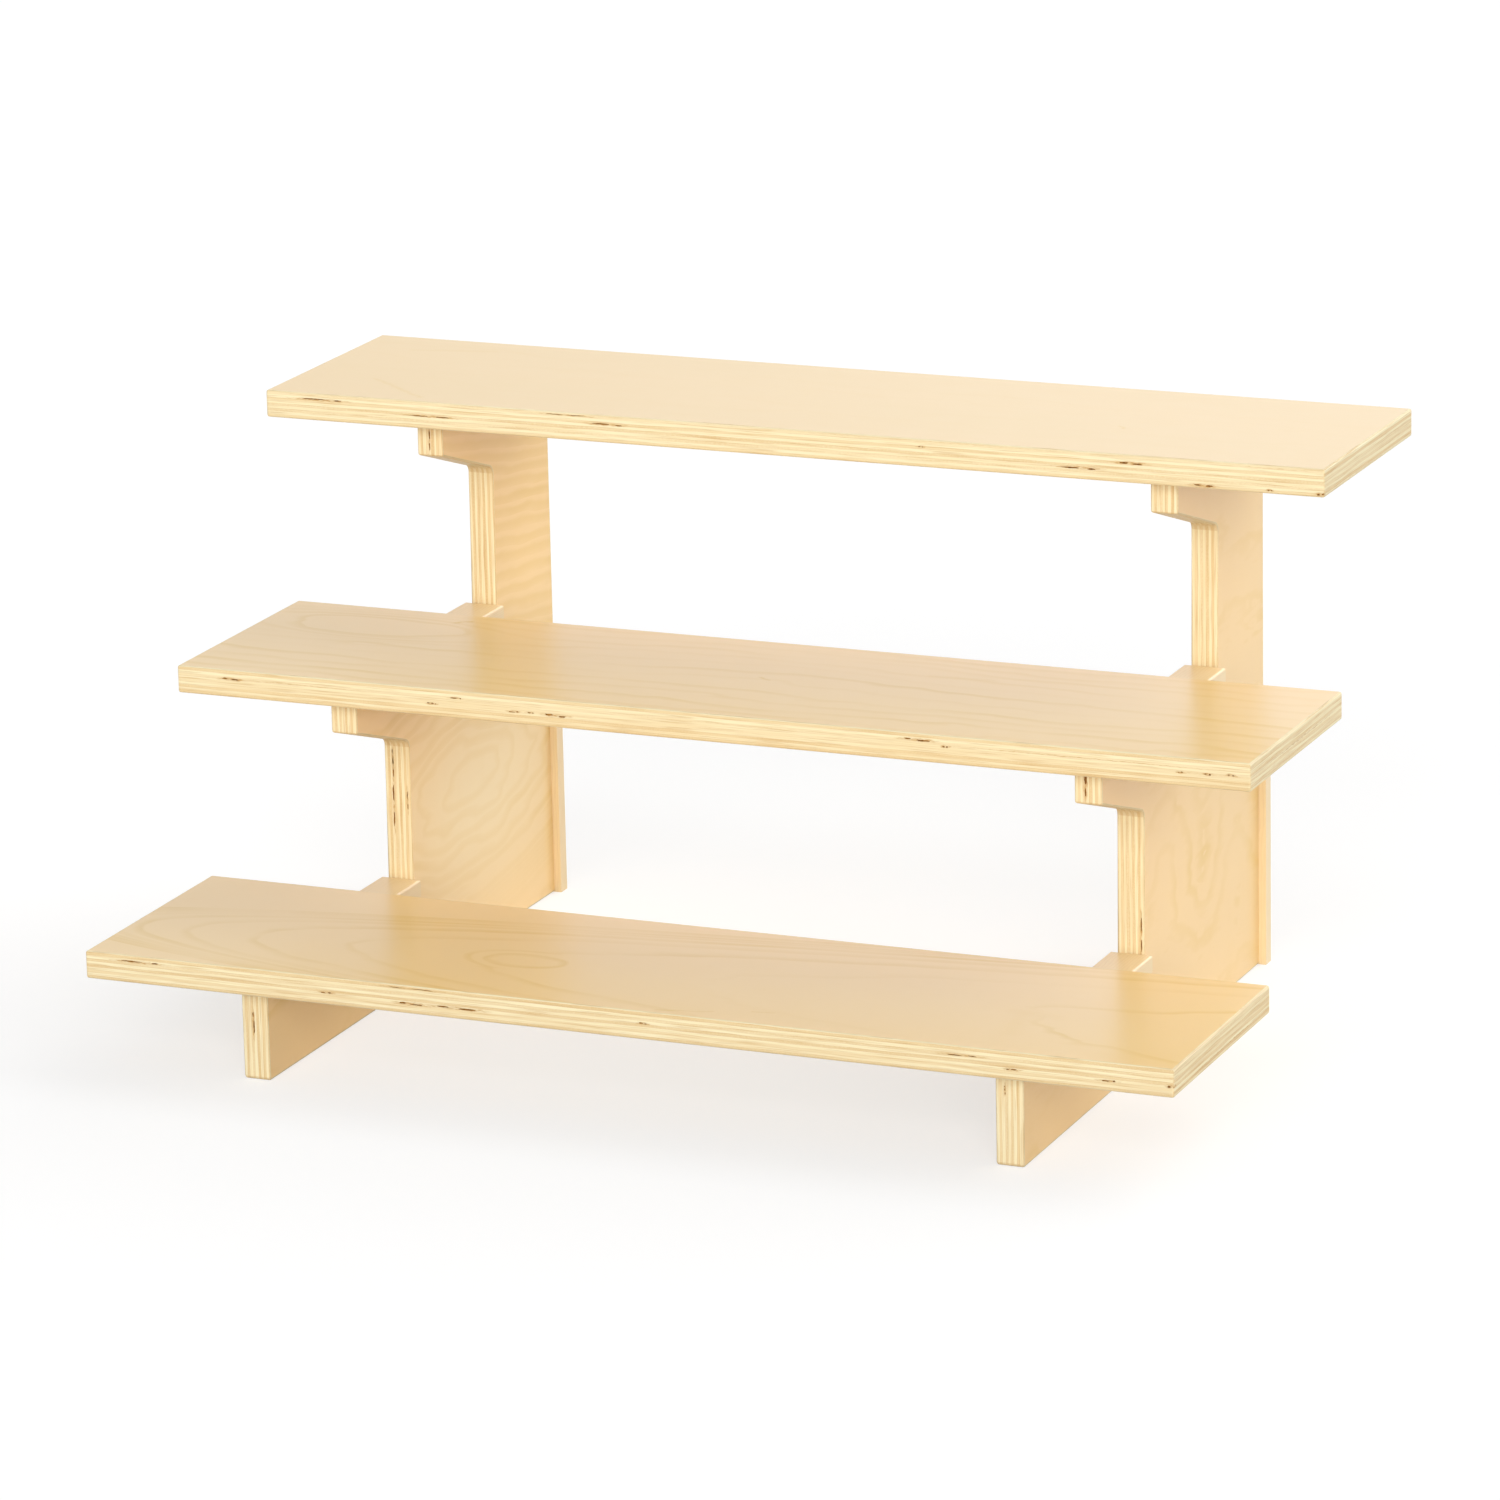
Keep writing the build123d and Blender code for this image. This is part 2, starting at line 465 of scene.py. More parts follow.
def veneer(name, origin, order, thickness, figure, base, lacquer, looks):
    """A lacquered face veneer; the first face of a sheet shows another stretch of it than the second."""
    seed = figure.seed
    # Painted light: the base colour is scaled by the figure's shade, paler where a face gets too little light
    # and darker where it gets too much
    base = [part * figure.shade for part in base]
    recipe = new_recipe(name)
    along, across, through = recipe.place(origin, order)
    depth = thickness / mm
    on_first_face = through.rise(0.6 * depth, 0.4 * depth)
    along = along + on_first_face * first_face_shift[0]
    across = across + on_first_face * first_face_shift[1]
    drift = recipe.noise(along / 210, across / 70, seed + 21.0) * 2 + 0.5
    colour = (drift * looks.warm_drift).blend(base, looks.veneer_warm)
    # Painted light: the paler areas stand in for light that the faces lack
    for *area, share in figure.painted_light:
        colour = (spot(recipe, along, across, area) * share).blend(colour, looks.painted_light_colour)
    worn_along = along + recipe.noise(along / 9, across / 5, seed + 61.0) * 8
    worn_across = across + recipe.noise(along / 9, across / 5, seed + 71.0) * 4
    marks = growth_lines(recipe, along, across, figure) * looks.line_depth
    for streak in figure.streaks:
        marks = marks + streak_line(worn_along, worn_across, streak)
    colour = marks.blend(colour, looks.veneer_line)
    fibre = recipe.noise(along / 13, across / 0.55, seed + 31.0, detail=3.0)
    curl = recipe.noise(along / 14, across / 46, seed + 41.0)
    shade = fibre * 0.2 + curl * 0.1
    colour = shade.blend(colour, looks.veneer_line)
    sheen = recipe.noise(along / 30, across / 12, seed + 81.0) * 0.05
    roughness = looks.face_roughness + sheen
    return recipe.finish(colour, roughness, relief=fibre, relief_depth=0.00003, coat=lacquer,
                         coat_roughness=looks.face_roughness)


def plies(name, origin, order, thickness, seed, contrast, stains, looks, painted_shade=0.0):
    """The edges of plywood: plies whose grain turns by a quarter from one to the next."""
    recipe = new_recipe(name)
    along, across, through = recipe.place(origin, order)
    out_along, out_across, _ = recipe.slant(order)

    def noise(reach, lift, detail=2.0):
        """Noise that changes over a reach in the sheet's plane."""
        return recipe.noise(along / reach, across / reach, lift, detail)

    # The plies sway a little inside the sheet, and lie flat at its faces
    depth = thickness / mm
    face_ply = looks.face_ply / mm
    ply_thickness = (depth - 2 * face_ply) / looks.inner_plies
    inside = (through * (depth - through) * (4 / depth ** 2)).most(0.0)
    sway = noise(150, seed + 5.0) * 1.3
    ripple = noise(60, through / 2.4 + seed) * 1.5
    ripple = ripple + noise(17, through / 2.0 + seed + 2.0) * 0.5
    level = (through + (sway + ripple) * inside - face_ply) / ply_thickness
    ply = level.floor().most(-1.0).least(float(looks.inner_plies))
    lengthways = ply.modulo(2.0)

    # A ply shows long grain where its fibres lie in the surface, and end grain where they point out of it
    fibres_out = out_across + (out_along - out_across) * lengthways
    end = fibres_out.rise(0.35, 0.75)
    tint = recipe.chance(ply + seed) - 0.5
    stretch_along = 0.55 - lengthways * 0.535
    stretch_across = 0.015 + lengthways * 0.535
    streak = recipe.noise(along * stretch_along, across * stretch_across, through * 1.2 + seed, detail=3.0)
    patch = noise(60, ply * 4.3 + seed)
    speckle = noise(1.1, through / 0.7)
    long_share = streak * 1.9 + patch * 1.0 + tint * 0.6 + 0.16
    long_colour = long_share.blend(looks.long_grain, looks.end_grain)
    end_share = speckle * 0.55 + patch * 0.8 + tint * 0.35 + 0.07
    end_colour = end_share.blend(looks.end_grain, looks.stain)
    ply_contrast = recipe.chance(ply + seed + 3.0) * 0.9 + 0.5
    edge = (end * ply_contrast * contrast).blend(long_colour, end_colour)

    # Glue lines come and go, and some plies are stained, flecked or streaked with brown
    seam_index = (level + 0.5).floor()
    from_seam = (level - seam_index).size() * ply_thickness
    seam_fade = (noise(75, seam_index * 3.1 + seed + 8.0) * 4.2 + 0.2).most(0.0).least(1.0)
    seam = from_seam.rise(0.27, 0.03) * seam_fade
    stained = noise(26, ply * 6.7 + seed + 14.0).rise(0.2, 0.36)
    fleck = noise(5, ply * 9.1 + seed + 17.0, detail=3.0).rise(0.27, 0.34) * from_seam.rise(0.1, 0.55)
    strand = noise(34, (through + ripple) * 1.7 + seed + 40.0, detail=4.0).rise(-0.02, 0.2)
    brown = (seam * 0.45).most(stained * 0.3).most(fleck * 0.45).most(strand * 0.4)

    # Brown torn fibres around the gaps and along the stained lines
    shreds = noise(4, through * 1.6 + seed + 43.0, detail=3.0).rise(-0.12, 0.16) * 0.7 + 0.3
    torn_along = along + noise(5, through / 1.6 + seed + 23.0, detail=3.0) * 9
    torn_across = across + noise(5, through / 1.6 + seed + 29.0, detail=3.0) * 9
    torn_through = through + noise(7, seed + 37.0, detail=3.0) * 1.6
    place = recipe.point(torn_along, torn_across, torn_through)
    for centre, reach, strength in stains:
        brown = brown.most(recipe.away(place, centre, reach).rise(1.15, 0.45) * shreds * strength)

    # Painted shade: faces that slant up or down, above all the hollow roundings under the arms, are browned
    # to stand in for the shade there
    brown = brown.most(out_across.rise(0.05, 0.13) * out_across.rise(0.95, 0.3) * painted_shade)
    colour = brown.blend(edge, looks.stain)
    roughness = looks.edge_roughness + speckle * 0.2 + end * 0.08
    relief = streak * 0.8 + speckle * end * 0.9
    return recipe.finish(colour, roughness, relief, relief_depth=0.00006, gloss=looks.edge_gloss)


def torn_core(name, looks):
    """Torn fibres inside the gaps of a core."""
    recipe = new_recipe(name)
    x, y, z = recipe.place((0, 0, 0), "XYZ")
    shreds = recipe.noise(x / 1.6, y / 1.6, z / 1.6, detail=3.0) * 3.0 + 0.4
    colour = shreds.blend(looks.gap, looks.stain)
    return recipe.finish(colour, roughness=0.85, relief=shreds, relief_depth=0.0003, gloss=0.1)


# Modelling steps

rightwards = Vector((1, 0, 0))
inwards = Vector((0, 1, 0))
upwards = Vector((0, 0, 1))

# Points nearer than this count as one, and edges up to this angle are shaded round
weld = 0.0005 * mm
round_angle = math.radians(32)

# A face this straight looks to the front, and a filled face may differ by this share
straight = 0.999
fill_error = 0.001


def deselect():
    bpy.ops.object.select_all(action="DESELECT")


def select_all():
    bpy.ops.mesh.select_all(action="SELECT")


def start_editing():
    bpy.ops.object.mode_set(mode="EDIT")


def stop_editing():
    bpy.ops.object.mode_set(mode="OBJECT")


def work_on(piece):
    """Makes the piece the only one selected, and the active one."""
    deselect()
    piece.select_set(True)
    bpy.context.view_layer.objects.active = piece


def settle(piece):
    """Puts the piece's place, turn and scale into its mesh."""
    work_on(piece)
    bpy.ops.object.transform_apply(location=True, rotation=True, scale=True)


def pick(piece, kind, test):
    """Selects the edges, faces or verts of a piece in edit mode that pass the test, and nothing else."""
    bpy.ops.mesh.select_mode(type={"verts": "VERT", "edges": "EDGE", "faces": "FACE"}[kind])
    bpy.ops.mesh.select_all(action="DESELECT")
    shape = bmesh.from_edit_mesh(piece.data)
    found = [part for part in getattr(shape, kind) if test(part)]
    for part in found:
        part.select_set(True)
    if not found:
        raise RuntimeError(f"no {kind} to work on in {piece.name}")
    shape.select_flush_mode()
    bmesh.update_edit_mesh(piece.data)


def middle(part):
    """Centre of an edge or a face."""
    return sum((vert.co for vert in part.verts), Vector()) / len(part.verts)


def block(name, low, high, finish):
    """A cube stretched between two corners, as the start of a piece or a cutter."""
    deselect()
    bpy.ops.mesh.primitive_cube_add(size=1.0, location=(Vector(low) + Vector(high)) / 2)
    piece = bpy.context.object
    piece.name = name
    piece.data.name = name
    piece.scale = Vector(high) - Vector(low)
    piece.data.materials.append(finish)
    settle(piece)
    return piece


def joined(pieces):
    """One object from several."""
    work_on(pieces[0])
    for piece in pieces[1:]:
        piece.select_set(True)
    bpy.ops.object.join()
    return bpy.context.object


def cut(piece, cutter):
    """Takes the cutter's shape out of the piece, with the cutter's finish on the new faces."""
    work_on(piece)
    step = piece.modifiers.new("cut", "BOOLEAN")
    step.operation = "DIFFERENCE"
    step.solver = "EXACT"
    step.use_self = True
    step.material_mode = "TRANSFER"
    step.object = cutter
    bpy.ops.object.modifier_apply(modifier=step.name)
    bpy.data.objects.remove(cutter)


def split_front(piece, axis, spans):
    """Cuts the front faces beside each span along an axis, so that each gap gets its own face."""
    ends = [end for low, high in spans for end in (low, high)]
    clear = [end for end in ends if not any(low < end < high for low, high in spans)]
    start_editing()
    for end in clear:
        pick(piece, "faces", lambda face: face.normal.y < -straight)
        bpy.ops.mesh.bisect(plane_co=axis * end, plane_no=axis)
    stop_editing()


def check_closed(piece):
    """Raises an error where the piece's mesh is open, or where a face with holes doesn't fill well."""
    shape = bmesh.new()
    shape.from_mesh(piece.data)
    is_closed = all(edge.is_manifold for edge in shape.edges)
    shape.free()
    piece.data.calc_loop_triangles()
    filled = sum(triangle.area for triangle in piece.data.loop_triangles)
    whole = sum(polygon.area for polygon in piece.data.polygons)
    if not is_closed or abs(filled / whole - 1.0) > fill_error:
        raise RuntimeError(f"the cuts left {piece.name} open or badly filled")


def face_with(piece, finish, axis, low, high):
    """Puts a finish on the two flat faces of a sheet, at its lowest and highest places along an axis."""
    near = 0.02 * mm
    piece.data.materials.append(finish)
    work_on(piece)
    start_editing()
    pick(piece, "faces", lambda face: all(abs(vert.co[axis] - low[axis]) < near for vert in face.verts)
         or all(abs(vert.co[axis] - high[axis]) < near for vert in face.verts))
    piece.active_material_index = len(piece.data.materials) - 1
    bpy.ops.object.material_slot_assign()
    stop_editing()


def smooth(piece):
    """Merges doubles, points the faces outwards and shades the eased edges round and the faces flat."""
    work_on(piece)
    start_editing()
    select_all()
    bpy.ops.mesh.remove_doubles(threshold=weld)
    bpy.ops.mesh.normals_make_consistent(inside=False)
    stop_editing()
    bpy.ops.object.shade_smooth_by_angle(angle=round_angle)
    step = piece.modifiers.new("flat faces", "WEIGHTED_NORMAL")
    step.keep_sharp = True
    bpy.ops.object.modifier_apply(modifier=step.name)
    check_closed(piece)


def torn_pit(place, reach, seed, finish):
    """A cutter for one pit in the core: a lens with a ragged rim."""
    deselect()
    bpy.ops.mesh.primitive_ico_sphere_add(subdivisions=2, radius=1.0, location=place)
    cutter = bpy.context.object
    start_editing()
    select_all()
    bpy.ops.transform.vertex_random(offset=ragged_rim, normal=1.0, seed=seed)
    stop_editing()
    cutter.scale = reach
    settle(cutter)
    cutter.data.materials.append(finish)
    return cutter


def torn_gap(place, run, rise, length, thickness, seed, finish):
    """The pits of one gap, in a row along its ply, with bridges of wood between them."""
    draw = random.Random(seed)
    pits = []
    start = -0.5
    while start < last_start:
        share = min(draw.uniform(*pit_share), 0.5 - start)
        centre = (place + run * (start + share / 2) * length
                  + rise * draw.uniform(-pit_wander, pit_wander) * thickness)
        reach = (run * share * length * pit_half_length
                 + rise * draw.uniform(*pit_half_thickness) * thickness + inwards * gap_depth * mm)
        pits.append(torn_pit(centre, reach, draw.randrange(1000), finish))
        start = start + share + draw.uniform(*bridge_share)
    return pits


def open_gaps(piece, gaps, run, rise, place_at, first_seed, seed_step, finish):
    """Tears gaps into the front of a piece; each has a place along its run, one along its rise and a size."""
    spans = [((place - length / 2 - gap_room) * mm, (place + length / 2 + gap_room) * mm)
             for place, _, length, _ in gaps]
    split_front(piece, run, spans)
    pits = []
    for index, (along, across, length, thickness) in enumerate(gaps):
        seed = first_seed + seed_step * index
        pits.extend(torn_gap(place_at(along, across), run, rise, length * mm, thickness * mm, seed, finish))
    cut(piece, joined(pits))


# Boards

# Gaps that show in a board's front edge: place along the board, height in the edge, length and thickness
board_gaps = {
    "bottom": (
        (-325, 14.2, 29, 0.9), (-194, 8.0, 9, 0.8), (-136, 6.6, 18, 1.3), (-105, 7.0, 30, 1.1),
        (-135, 16.4, 34, 0.5), (20, 10.5, 6, 0.9), (228, 12.5, 21, 0.7), (260, 7.0, 8, 1.0),
        (321, 6.5, 10, 1.0), (361, 7.4, 6, 1.4),
    ),
    "middle": (
        (-324, 12.0, 14, 1.2), (-183, 8.3, 7, 0.9), (-166, 13.5, 8, 0.8), (-126, 8.0, 7, 1.0),
        (-114, 8.3, 5, 0.8), (-97, 7.8, 16, 1.2), (147, 14.0, 19, 1.2), (165, 11.2, 4, 1.1),
        (318, 8.6, 4, 0.9), (335, 9.0, 5, 1.0), (350, 9.7, 5, 1.1),
    ),
    "top": (
        (-323, 14.0, 32, 1.0), (-245, 8.5, 31, 0.8), (-148, 16.4, 30, 0.5), (-120, 12.0, 24, 0.9),
        (96, 13.4, 4, 0.8), (201, 7.5, 26, 1.0), (236, 12.7, 18, 1.3), (284, 2.2, 14, 1.3),
        (327, 2.3, 4, 0.8), (360, 2.0, 6, 1.2),
    ),
}

# Brown lines in a board's edges: centre and reach along it, from its front and in height, and strength
board_stains = {
    "bottom": (((362, 95, 4.4), (6, 75, 0.5), 0.7), ((150, 0, 12.8), (60, 5, 0.3), 0.45)),
    "middle": (
        ((255, 0, 12.0), (105, 5, 0.3), 0.8), ((-285, 0, 12.4), (65, 5, 0.3), 0.7),
        ((362, 90, 9.2), (6, 80, 0.6), 0.7), ((335, 0, 9.0), (28, 5, 0.7), 0.3),
        ((20, 0, 12.6), (40, 5, 0.25), 0.4),
    ),
    "top": (
        ((362, 90, 1.6), (6, 80, 0.35), 0.6), ((330, 0, 16.2), (30, 5, 0.3), 0.5),
        ((100, 0, 16.8), (120, 5, 0.25), 0.4),
    ),
}

# Growth lines of each board's face, seen from above with the front edge at 0 across
# The shade factors here are painted light: the lower boards are made paler to make up for the shade of the
# boards above them, and the top board darker
board_figures = {
    "bottom": Figure(
        2.0, 60.0, shade=1.06, waver=0.14, ripple=0.02, breadth=2.2, nose=(64, 72, -426, 1.45),
        eyes=(Eye((-92, 72, 27, 13), 14.7, 0.8, 0.5, 1.0, 1.6, 0.4),), plain=((110, 62, 110, 45, 1.0),),
        streaks=(((240, 70), (246, 35), 7.0, 0.1), ((234, 76), (262, 72), 5.0, 0.08),
                 ((25, 6), (60, 14), 1.2, 0.32), ((84, 22), (96, 24), 1.0, 0.32))),
    "middle": Figure(
        14.0, 16.0, shade=1.04, waver=0.45, ripple=0.06, breadth=2.2, swells=((15, 110, 110, 45, 18),),
        eyes=(Eye((-281, 130, 59, 21), 9.3, -0.8, 0.5, 1.05, 1.9, 0.7),),
        streaks=(((-238, 154), (-229, 160), 1.6, 0.85), ((4, 91), (11, 87), 1.1, 0.65),
                 ((106, 128), (148, 130), 2.5, 0.24))),
    "top": Figure(
        33.0, 30.0, shade=0.965, tilt=0.05, waver=0.5, ripple=0.05, breadth=2.2, strength=0.12,
        streaks=(((-308, 52), (-257, 12), 1.8, 0.32), ((-322, 138), (-267, 150), 2.4, 0.2),
                 ((204, 72), (208, 66), 0.9, 0.55))),
}


def groove_cutter(tier, side, sizes, finish):
    """The room in a board for one rail, open at the underside and the rear."""
    rail_low, rail_high = map(Vector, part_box(f"{side}_{tier}_rail"))
    board_low, board_high = map(Vector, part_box(f"{tier}_board"))
    spare = 2 * mm
    beside = sizes.groove_side_clearance
    low = Vector((rail_low.x - beside, rail_low.y - sizes.groove_end_clearance, board_low.z - spare))
    high = Vector((rail_high.x + beside, board_high.y + spare, rail_high.z))
    cutter = block("groove", low, high, finish)
    start_editing()
    pick(cutter, "edges", lambda edge: all(abs(vert.co.y - low.y) < mm for vert in edge.verts)
         and abs(edge.verts[0].co.x - edge.verts[1].co.x) < mm)
    bpy.ops.mesh.bevel(offset=sizes.groove_corner_radius, segments=sizes.groove_segments, affect="EDGES")
    stop_editing()
    return cutter


def model_board(tier, sizes, edges, faces, torn):
    """One board: an eased slab with two grooves under it and the core gaps in its front edge."""
    low, high = map(Vector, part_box(f"{tier}_board"))
    board = block(f"{tier}_shelf_board", low, high, edges)
    start_editing()
    select_all()
    bpy.ops.mesh.bevel(offset=sizes.board_edge_radius, segments=sizes.edge_segments, affect="EDGES")
    stop_editing()
    for side in sides:
        cut(board, groove_cutter(tier, side, sizes, edges))
    open_gaps(board, board_gaps[tier], run=rightwards, rise=upwards,
              place_at=lambda x, height: Vector((x * mm, low.y, low.z + height * mm)),
              first_seed=tiers.index(tier), seed_step=7, finish=torn)
    smooth(board)
    face_with(board, faces, 2, low, high)
    return board


class SHELF_OT_add_boards(bpy.types.Operator):
    """Add the three plywood boards, each grooved to drop over its rails"""

    bl_idname = "shelf.add_boards"
    bl_label = "Add boards"

    def execute(self, context):
        sizes = context.scene.shelf_sizes
        looks = context.scene.shelf_plywood
        torn = torn_core("torn core of boards", looks)
        for tier in tiers:
            low, high = map(Vector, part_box(f"{tier}_board"))
            sheet = (Vector(((low.x + high.x) / 2, low.y, low.z)), "XYZ", board_size.z)
            stains = [((x, 0, height), (length * stain_length, stain_depth, thickness * stain_thickness),
                       stain_strength) for x, height, length, thickness in board_gaps[tier]]
            stains.extend(board_stains[tier])
            figure = board_figures[tier]
            edges = plies(f"plies of {tier} board", *sheet, figure.seed, looks.board_contrast, stains, looks)
            faces = veneer(f"veneer of {tier} board", *sheet, figure, looks.board_veneer, looks.board_lacquer,
                           looks)
            board = model_board(tier, sizes, edges, faces, torn)
            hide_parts(f"{tier}_board")
            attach(board, f"{tier}_tier")
        return {"FINISHED"}


# Supports

# Gaps that show in a support's front edges: height, place across the thickness, length and thickness
support_gaps = {
    "left": (
        (349, 8.8, 15, 0.9), (148, 5.9, 20, 1.0), (120, 5.7, 30, 1.0), (124, 15.7, 14, 0.8),
        (37, 7.9, 16, 1.1),
    ),
    "right": ((200.2, 7.3, 15, 1.6), (48, 6.0, 6, 1.0), (84, 15.7, 24, 0.8)),
}

# Growth lines of each support's right-hand face: along to the back from the middle, across from the floor
# The shade factors here are painted light: the supports' faces are made paler to make up for light the lamps
# don't give them, the left one most
support_figures = {
    "left": Figure(
        5.0, 72.0, phase=8.0, crowding=0.009, shade=1.09, tilt=-0.9, fan=0.0074, waver=0.35, ripple=0.08,
        breadth=2.8, strength=0.75, even=0.55, eyes=(Eye((86, 114, 42, 16), 6.55, 0.95, 2.0, 4.2, 6.5, 0.0),),
        # The left support's paler area is painted light: a painted pool of light on its lower panel
        painted_light=((105, 100, 120, 75, 1.0),), plain=((95, 95, 190, 85, 0.55), (0, 15, 400, 30, 0.8))),
    "right": Figure(
        27.0, 58.0, shade=1.03, tilt=0.1, waver=0.35, ripple=0.14, breadth=4.0, strength=0.85,
        swells=((36, 112, 22, 42, 60), (112, 104, 26, 60, -80), (175, 100, 24, 70, 50))),
}


def step_heights():
    """Heights of the tops of the steps, where the boards rest."""
    return [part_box(f"{tier}_board")[0][2] for tier in tiers]


def post_fronts():
    """Where the posts stand, at the rear ends of the lower rails; the last is the support's rear edge."""
    return [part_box(f"left_{rail}")[1][1] for rail in rails]


def arm_tip(side, tier):
    """Where an arm's tip lies: as far behind its board's front as the foot behind the bottom board's."""
    foot = Vector(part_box(f"{side}_support")[0])
    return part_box(f"{tier}_board")[0][1] + foot.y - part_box("bottom_board")[0][1]


def extrude(piece, kind, test, move):
    pick(piece, kind, test)
    bpy.ops.mesh.extrude_region_move(TRANSFORM_OT_translate={"value": move})


def slice_at(place, normal):
    """Cuts every face of a flat outline along a plane."""
    select_all()
    bpy.ops.mesh.bisect(plane_co=place, plane_no=normal)


def support_outline(side, sizes):
    """The stepped outline of a support, as one flat face on its left side."""
    low, high = map(Vector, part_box(f"{side}_support"))
    heights = step_heights()
    fronts = post_fronts()
    deselect()
    bpy.ops.mesh.primitive_plane_add(size=1.0, location=(low.x, (low.y + high.y) / 2, heights[0] / 2),
                                     rotation=(0, math.radians(90), 0))
    support = bpy.context.object
    support.name = f"{side}_step_support"
    support.data.name = support.name
    support.scale = (heights[0], high.y - low.y, 1.0)
    settle(support)
    near = 0.01 * mm
    start_editing()
    for tier in range(1, len(tiers)):
        post = fronts[tier - 1]
        floor = heights[tier - 1]
        top = heights[tier]
        root = top - sizes.arm_root_depth
        tip = arm_tip(side, tiers[tier])
        slice_at((0, post, 0), inwards)
        for start, end in ((floor, root), (root, top)):
            extrude(support, "edges", lambda edge: middle(edge).y > post + near
                    and all(abs(vert.co.z - start) < near for vert in edge.verts), (0, 0, end - start))
        extrude(support, "edges", lambda edge: abs(middle(edge).y - post) < near
                and root + near < middle(edge).z < top - near, (0, tip - post, 0))
        pick(support, "verts", lambda vert: abs(vert.co.y - tip) < near and abs(vert.co.z - root) < near)
        bpy.ops.transform.translate(value=(0, 0, sizes.arm_root_depth - sizes.arm_tip_depth))
    cleat_low, cleat_high = map(Vector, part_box(f"{side}_rear_cleat"))
    slice_at((0, cleat_low.y, 0), inwards)
    slice_at((0, 0, cleat_high.z), upwards)
    pick(support, "faces", lambda face: middle(face).y > cleat_low.y and middle(face).z < cleat_high.z)
    bpy.ops.mesh.delete(type="FACE")
    select_all()
    bpy.ops.mesh.remove_doubles(threshold=near)
    bpy.ops.mesh.dissolve_limited(angle_limit=math.radians(1))
    stop_editing()
    return support


def round_corners(support, test, radius, slope, segments):
    """Rounds the corners that pass the test, between an upright edge and an underside with a slope."""
    reach = radius / math.tan((math.radians(90) + slope) / 2)
    pick(support, "edges", lambda edge: abs(edge.verts[0].co.x - edge.verts[1].co.x) > mm
         and test(middle(edge)))
    bpy.ops.mesh.bevel(offset=reach, segments=segments, affect="EDGES")


def model_support(side, sizes, edges, faces, torn):
    """One support: the outline made as thick as the sheet, with eased edges and core gaps in front."""
    low, high = map(Vector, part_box(f"{side}_support"))
    support = support_outline(side, sizes)
    near = 0.05 * mm
    heights = step_heights()
    cleat_low, cleat_high = map(Vector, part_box(f"{side}_rear_cleat"))
    start_editing()
    extrude(support, "faces", lambda face: True, (high.x - low.x, 0, 0))
    select_all()
    bpy.ops.mesh.normals_make_consistent(inside=False)

    drop = sizes.arm_root_depth - sizes.arm_tip_depth
    slope = math.atan2(drop, post_fronts()[0] - arm_tip(side, "middle"))
    roots = [top - sizes.arm_root_depth for top in heights[1:]]
    tips = [top - sizes.arm_tip_depth for top in heights[1:]]
    for test, radius, lean in (
            (lambda at: any(abs(at.z - root) < near for root in roots), sizes.arm_root_radius, slope),
            (lambda at: any(abs(at.z - tip) < near for tip in tips), sizes.arm_tip_radius, slope),
            (lambda at: at.y < low.y + near and at.z < near, sizes.foot_corner_radius, 0.0)):
        round_corners(support, test, radius, lean, sizes.arm_segments)

    def is_eased(edge):
        at = middle(edge)
        on_side = abs(edge.verts[0].co.x - edge.verts[1].co.x) < near
        on_step = any(abs(at.z - top) < near for top in heights)
        in_rebate = at.y > cleat_low.y - near and at.z < cleat_high.z + near
        return on_side and not on_step and not in_rebate

    pick(support, "edges", is_eased)
    bpy.ops.mesh.bevel(offset=sizes.support_edge_radius, segments=sizes.edge_segments, affect="EDGES")
    stop_editing()

    support.data.materials.append(edges)
    open_gaps(support, support_gaps[side], run=upwards, rise=rightwards,
              place_at=lambda z, x: Vector((low.x + x * mm, front_at(side, z * mm), z * mm)),
              first_seed=3, seed_step=5, finish=torn)
    smooth(support)
    face_with(support, faces, 0, low, high)
    return support


def front_at(side, height):
    """Where the support's front edge lies at a height: on the foot, an arm's tip or a post."""
    for tier, top in enumerate(step_heights()):
        if height < top:
            tip_start = top - bpy.context.scene.shelf_sizes.arm_tip_depth if tier else 0.0
            return arm_tip(side, tiers[tier]) if height >= tip_start else post_fronts()[tier - 1]
    raise RuntimeError("a gap lies above the support")


class SHELF_OT_add_supports(bpy.types.Operator):
    """Add the two stepped plywood supports"""

    bl_idname = "shelf.add_supports"
    bl_label = "Add supports"

    def execute(self, context):
        sizes = context.scene.shelf_sizes
        looks = context.scene.shelf_plywood
        torn = torn_core("torn core of supports", looks)
        for side in sides:
            sheet = (Vector((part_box(f"{side}_support")[0][0], 0.0, 0.0)), "YZX", support_size.x)
            stains = [((front_at(side, z * mm) / mm, z, x),
                       (stain_depth, length * stain_length, thickness * stain_thickness), stain_strength)
                      for z, x, length, thickness in support_gaps[side]]
            figure = support_figures[side]
            # The supports' plies carry painted shade on the roundings under the arms
            edges = plies(f"plies of {side} support", *sheet, figure.seed, looks.support_contrast, stains,
                          looks, painted_shade=looks.support_scorch)
            faces = veneer(f"veneer of {side} support", *sheet, figure, looks.support_veneer,
                           looks.support_lacquer, looks)
            support = model_support(side, sizes, edges, faces, torn)
            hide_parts(f"{side}_support")
            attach(support, "stand")
        return {"FINISHED"}


# Strips and screws


